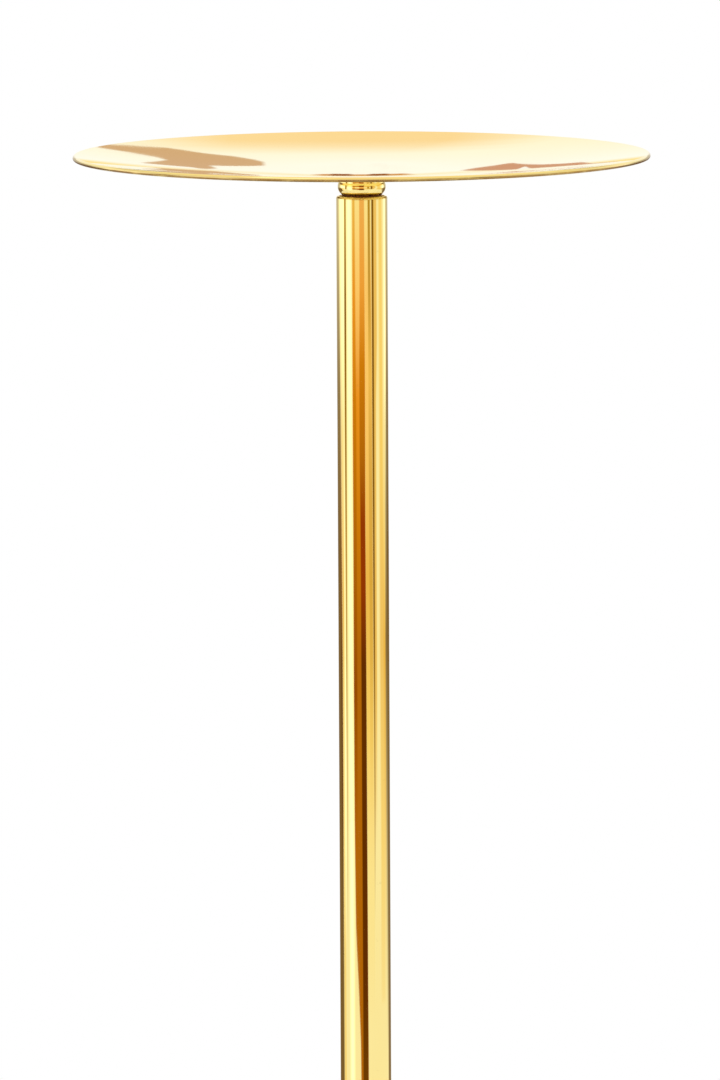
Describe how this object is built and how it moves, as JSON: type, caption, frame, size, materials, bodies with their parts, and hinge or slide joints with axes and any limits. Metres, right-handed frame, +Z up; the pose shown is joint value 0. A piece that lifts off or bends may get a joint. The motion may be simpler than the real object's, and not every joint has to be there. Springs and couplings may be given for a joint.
{
  "type": "torchere candle stand",
  "caption": "Tall floor stand for a pillar candle: a wide shallow round brass pan that screws onto a plain tubular column above a heavy round domed base.",
  "frame": {"origin": "on the floor, under the middle of the base", "axes": "+Z up along the column; the stand is round about Z, and -Y faces the viewer of the picture"},
  "size_m": [0.286, 0.286, 1.0964],
  "materials": {
    "polished_brass": "mirror polished, warm yellow, lightly wiped",
    "turned_brass": "as turned, fine tool marks, unpolished",
    "zinc_steel": "bright zinc plated",
    "cast_iron": "dark as cast",
    "brown_fibre": "matt brown vulcanised fibre",
    "green_felt": "dense wool felt"
  },
  "bodies": {
    "stand": {"felt_pad": "green_felt", "base_cover": "zinc_steel", "cover_screw_1": "zinc_steel", "cover_screw_2": "zinc_steel", "cover_screw_3": "zinc_steel", "base_weight": "cast_iron", "base_bolt": "zinc_steel", "spring_washer": "zinc_steel", "flat_washer": "zinc_steel", "base_shell": "polished_brass", "foot_collar": "polished_brass", "lower_tube": "polished_brass", "lower_tube_foot_plug": "turned_brass", "lower_tube_head_plug": "turned_brass", "joint_stud": "zinc_steel", "upper_tube": "polished_brass", "upper_tube_foot_plug": "turned_brass", "upper_tube_head_plug": "turned_brass"},
    "screw": {"pan_stud": "zinc_steel"},
    "pan_top": {"pan": "polished_brass", "pan_neck": "polished_brass", "neck_washer": "brown_fibre"}
  },
  "joints": [
    {"name": "pan_climb", "type": "slide", "parent": "stand", "child": "screw", "axis": [0, 0, 1], "range_m": [0, 0.012]},
    {"name": "pan_turn", "type": "hinge", "parent": "screw", "child": "pan_top", "pos_m": [0, 0, 1.0754], "axis": [0, 0, 1], "range_deg": [0, 2880]}
  ],
  "couplings": [
    {"joint": "pan_climb", "follows": "pan_turn", "m_per_rad": 0.00023873}
  ]
}
